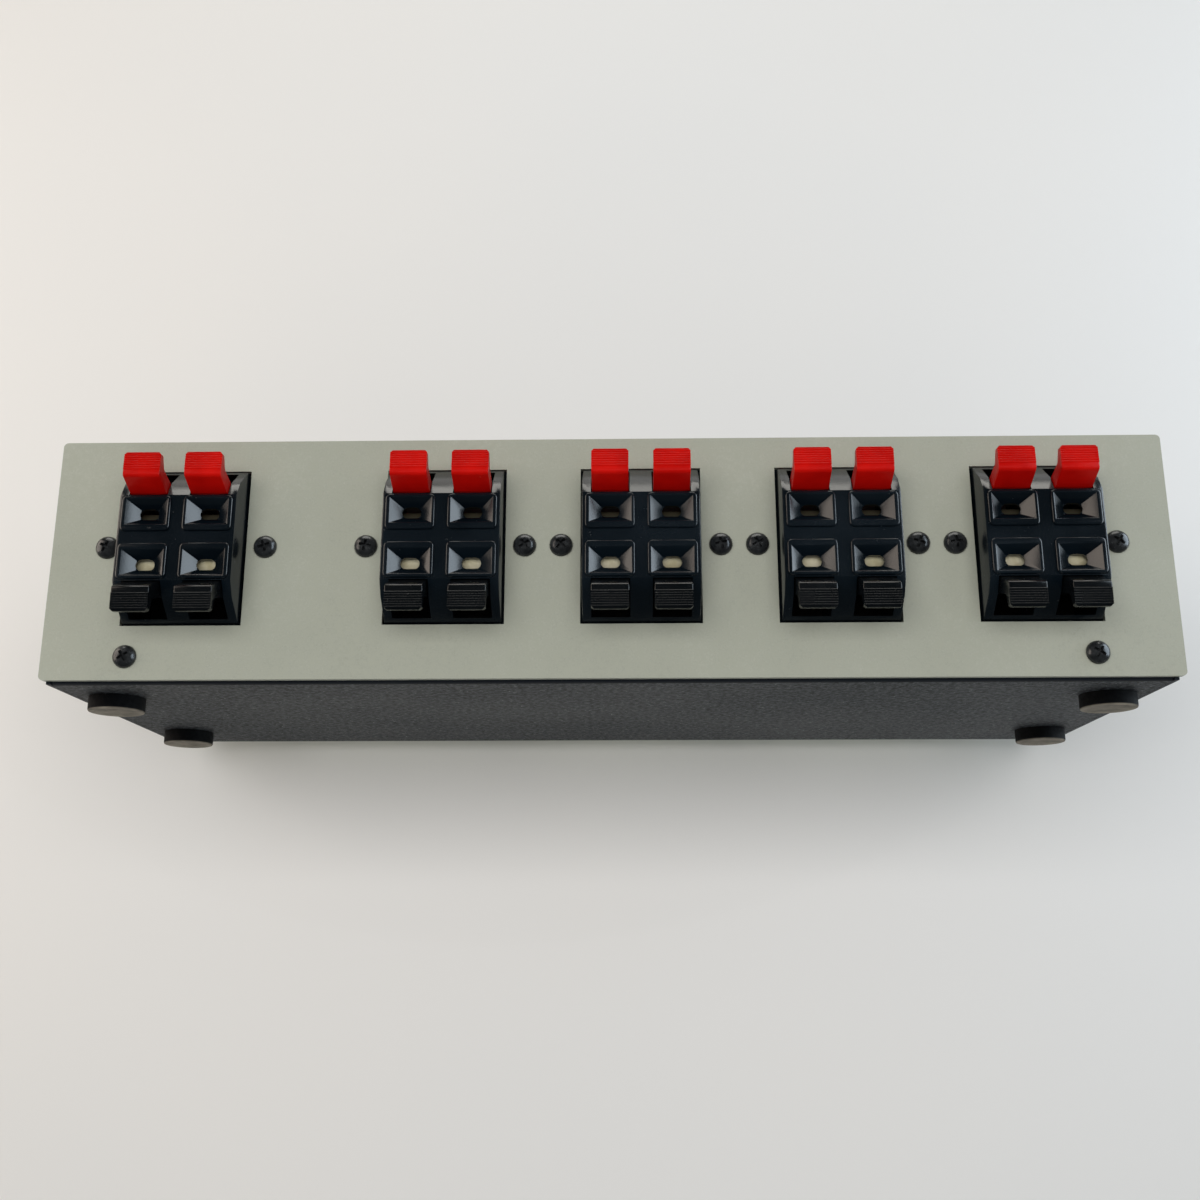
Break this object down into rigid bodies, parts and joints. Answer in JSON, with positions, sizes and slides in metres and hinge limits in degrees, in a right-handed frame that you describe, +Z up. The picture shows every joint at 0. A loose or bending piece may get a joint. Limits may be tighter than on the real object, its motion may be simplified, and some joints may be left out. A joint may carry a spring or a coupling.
{
  "type": "speaker selector switch",
  "caption": "Low metal switch box with rotary selector knobs in front and push-lever speaker wire terminals behind.",
  "frame": {"origin": "centre of the box around the whole object, on the surface the feet stand on", "axes": "+X along the case to the right seen from the knobs, +Y from the knobs to the terminals, +Z up"},
  "size_m": [0.2612, 0.1238, 0.062],
  "materials": {
    "case_paint": "fine textured charcoal",
    "panel_plate": "satin light grey",
    "foot_rubber": "matte black",
    "black_screw": "blackened, glossy",
    "nut_steel": "zinc plated",
    "terminal_plastic": "blue-black moulded",
    "phenolic_board": "brown phenolic",
    "contact_brass": "plated brass",
    "lever_red": "red moulded",
    "lever_black": "black moulded",
    "knob_plastic": "satin black",
    "shaft_aluminium": "turned",
    "switch_steel": "plated can",
    "wire_sleeve": "sleeved wire"
  },
  "bodies": {
    "case": {"base_chassis": "case_paint", "cover_screws": "black_screw", "feet": "foot_rubber", "front_panel": "panel_plate", "rear_panel": "panel_plate", "rear_panel_screws": "black_screw", "switch_bodies": "switch_steel", "switch_lugs": "contact_brass", "switch_nuts": "nut_steel", "switch_wafers": "phenolic_board", "terminal_board_1": "phenolic_board", "terminal_board_2": "phenolic_board", "terminal_board_3": "phenolic_board", "terminal_board_4": "phenolic_board", "terminal_board_5": "phenolic_board", "terminal_contacts_1": "contact_brass", "terminal_contacts_2": "contact_brass", "terminal_contacts_3": "contact_brass", "terminal_contacts_4": "contact_brass", "terminal_contacts_5": "contact_brass", "terminal_housing_1": "terminal_plastic", "terminal_housing_2": "terminal_plastic", "terminal_housing_3": "terminal_plastic", "terminal_housing_4": "terminal_plastic", "terminal_housing_5": "terminal_plastic", "terminal_screws": "black_screw", "top_cover": "case_paint", "wiring_looms": "wire_sleeve"},
    "dial_1": {"knob_1": "knob_plastic", "switch_shaft_1": "shaft_aluminium"},
    "dial_2": {"knob_2": "knob_plastic", "switch_shaft_2": "shaft_aluminium"},
    "dial_3": {"knob_3": "knob_plastic", "switch_shaft_3": "shaft_aluminium"},
    "dial_4": {"knob_4": "knob_plastic", "switch_shaft_4": "shaft_aluminium"},
    "lever_black_1a": {"lever_black_1a": "lever_black"},
    "lever_black_1b": {"lever_black_1b": "lever_black"},
    "lever_black_2a": {"lever_black_2a": "lever_black"},
    "lever_black_2b": {"lever_black_2b": "lever_black"},
    "lever_black_3a": {"lever_black_3a": "lever_black"},
    "lever_black_3b": {"lever_black_3b": "lever_black"},
    "lever_black_4a": {"lever_black_4a": "lever_black"},
    "lever_black_4b": {"lever_black_4b": "lever_black"},
    "lever_black_5a": {"lever_black_5a": "lever_black"},
    "lever_black_5b": {"lever_black_5b": "lever_black"},
    "lever_red_1a": {"lever_red_1a": "lever_red"},
    "lever_red_1b": {"lever_red_1b": "lever_red"},
    "lever_red_2a": {"lever_red_2a": "lever_red"},
    "lever_red_2b": {"lever_red_2b": "lever_red"},
    "lever_red_3a": {"lever_red_3a": "lever_red"},
    "lever_red_3b": {"lever_red_3b": "lever_red"},
    "lever_red_4a": {"lever_red_4a": "lever_red"},
    "lever_red_4b": {"lever_red_4b": "lever_red"},
    "lever_red_5a": {"lever_red_5a": "lever_red"},
    "lever_red_5b": {"lever_red_5b": "lever_red"}
  },
  "joints": [
    {"name": "turn_knob_1", "type": "hinge", "parent": "case", "child": "dial_1", "pos_m": [0.1065, -0.04485, 0.03307], "axis": [0, -1, 0], "range_deg": [-60, 0]},
    {"name": "turn_knob_2", "type": "hinge", "parent": "case", "child": "dial_2", "pos_m": [0.0355, -0.04485, 0.03307], "axis": [0, -1, 0], "range_deg": [-60, 0]},
    {"name": "turn_knob_3", "type": "hinge", "parent": "case", "child": "dial_3", "pos_m": [-0.0355, -0.04485, 0.03307], "axis": [0, -1, 0], "range_deg": [-60, 0]},
    {"name": "turn_knob_4", "type": "hinge", "parent": "case", "child": "dial_4", "pos_m": [-0.1065, -0.04485, 0.03307], "axis": [0, -1, 0], "range_deg": [-60, 0]},
    {"name": "press_black_1a", "type": "hinge", "parent": "case", "child": "lever_black_1a", "pos_m": [0.1054, 0.05015, 0.02442], "axis": [-1, 0, 0], "range_deg": [0, 20], "stiffness_Nm_per_rad": 0.1, "springref_deg": -11.46},
    {"name": "press_black_1b", "type": "hinge", "parent": "case", "child": "lever_black_1b", "pos_m": [0.0914, 0.05015, 0.02442], "axis": [-1, 0, 0], "range_deg": [0, 20], "stiffness_Nm_per_rad": 0.1, "springref_deg": -11.46},
    {"name": "press_black_2a", "type": "hinge", "parent": "case", "child": "lever_black_2a", "pos_m": [0.04475, 0.05015, 0.02442], "axis": [-1, 0, 0], "range_deg": [0, 20], "stiffness_Nm_per_rad": 0.1, "springref_deg": -11.46},
    {"name": "press_black_2b", "type": "hinge", "parent": "case", "child": "lever_black_2b", "pos_m": [0.03075, 0.05015, 0.02442], "axis": [-1, 0, 0], "range_deg": [0, 20], "stiffness_Nm_per_rad": 0.1, "springref_deg": -11.46},
    {"name": "press_black_3a", "type": "hinge", "parent": "case", "child": "lever_black_3a", "pos_m": [-0.0008, 0.05015, 0.02442], "axis": [-1, 0, 0], "range_deg": [0, 20], "stiffness_Nm_per_rad": 0.1, "springref_deg": -11.46},
    {"name": "press_black_3b", "type": "hinge", "parent": "case", "child": "lever_black_3b", "pos_m": [-0.0148, 0.05015, 0.02442], "axis": [-1, 0, 0], "range_deg": [0, 20], "stiffness_Nm_per_rad": 0.1, "springref_deg": -11.46},
    {"name": "press_black_4a", "type": "hinge", "parent": "case", "child": "lever_black_4a", "pos_m": [-0.04635, 0.05015, 0.02442], "axis": [-1, 0, 0], "range_deg": [0, 20], "stiffness_Nm_per_rad": 0.1, "springref_deg": -11.46},
    {"name": "press_black_4b", "type": "hinge", "parent": "case", "child": "lever_black_4b", "pos_m": [-0.06035, 0.05015, 0.02442], "axis": [-1, 0, 0], "range_deg": [0, 20], "stiffness_Nm_per_rad": 0.1, "springref_deg": -11.46},
    {"name": "press_black_5a", "type": "hinge", "parent": "case", "child": "lever_black_5a", "pos_m": [-0.0919, 0.05015, 0.02442], "axis": [-1, 0, 0], "range_deg": [0, 20], "stiffness_Nm_per_rad": 0.1, "springref_deg": -11.46},
    {"name": "press_black_5b", "type": "hinge", "parent": "case", "child": "lever_black_5b", "pos_m": [-0.1059, 0.05015, 0.02442], "axis": [-1, 0, 0], "range_deg": [0, 20], "stiffness_Nm_per_rad": 0.1, "springref_deg": -11.46},
    {"name": "press_red_1a", "type": "hinge", "parent": "case", "child": "lever_red_1a", "pos_m": [0.1054, 0.05015, 0.04682], "axis": [1, 0, 0], "range_deg": [0, 20], "stiffness_Nm_per_rad": 0.1, "springref_deg": -11.46},
    {"name": "press_red_1b", "type": "hinge", "parent": "case", "child": "lever_red_1b", "pos_m": [0.0914, 0.05015, 0.04682], "axis": [1, 0, 0], "range_deg": [0, 20], "stiffness_Nm_per_rad": 0.1, "springref_deg": -11.46},
    {"name": "press_red_2a", "type": "hinge", "parent": "case", "child": "lever_red_2a", "pos_m": [0.04475, 0.05015, 0.04682], "axis": [1, 0, 0], "range_deg": [0, 20], "stiffness_Nm_per_rad": 0.1, "springref_deg": -11.46},
    {"name": "press_red_2b", "type": "hinge", "parent": "case", "child": "lever_red_2b", "pos_m": [0.03075, 0.05015, 0.04682], "axis": [1, 0, 0], "range_deg": [0, 20], "stiffness_Nm_per_rad": 0.1, "springref_deg": -11.46},
    {"name": "press_red_3a", "type": "hinge", "parent": "case", "child": "lever_red_3a", "pos_m": [-0.0008, 0.05015, 0.04682], "axis": [1, 0, 0], "range_deg": [0, 20], "stiffness_Nm_per_rad": 0.1, "springref_deg": -11.46},
    {"name": "press_red_3b", "type": "hinge", "parent": "case", "child": "lever_red_3b", "pos_m": [-0.0148, 0.05015, 0.04682], "axis": [1, 0, 0], "range_deg": [0, 20], "stiffness_Nm_per_rad": 0.1, "springref_deg": -11.46},
    {"name": "press_red_4a", "type": "hinge", "parent": "case", "child": "lever_red_4a", "pos_m": [-0.04635, 0.05015, 0.04682], "axis": [1, 0, 0], "range_deg": [0, 20], "stiffness_Nm_per_rad": 0.1, "springref_deg": -11.46},
    {"name": "press_red_4b", "type": "hinge", "parent": "case", "child": "lever_red_4b", "pos_m": [-0.06035, 0.05015, 0.04682], "axis": [1, 0, 0], "range_deg": [0, 20], "stiffness_Nm_per_rad": 0.1, "springref_deg": -11.46},
    {"name": "press_red_5a", "type": "hinge", "parent": "case", "child": "lever_red_5a", "pos_m": [-0.0919, 0.05015, 0.04682], "axis": [1, 0, 0], "range_deg": [0, 20], "stiffness_Nm_per_rad": 0.1, "springref_deg": -11.46},
    {"name": "press_red_5b", "type": "hinge", "parent": "case", "child": "lever_red_5b", "pos_m": [-0.1059, 0.05015, 0.04682], "axis": [1, 0, 0], "range_deg": [0, 20], "stiffness_Nm_per_rad": 0.1, "springref_deg": -11.46}
  ]
}
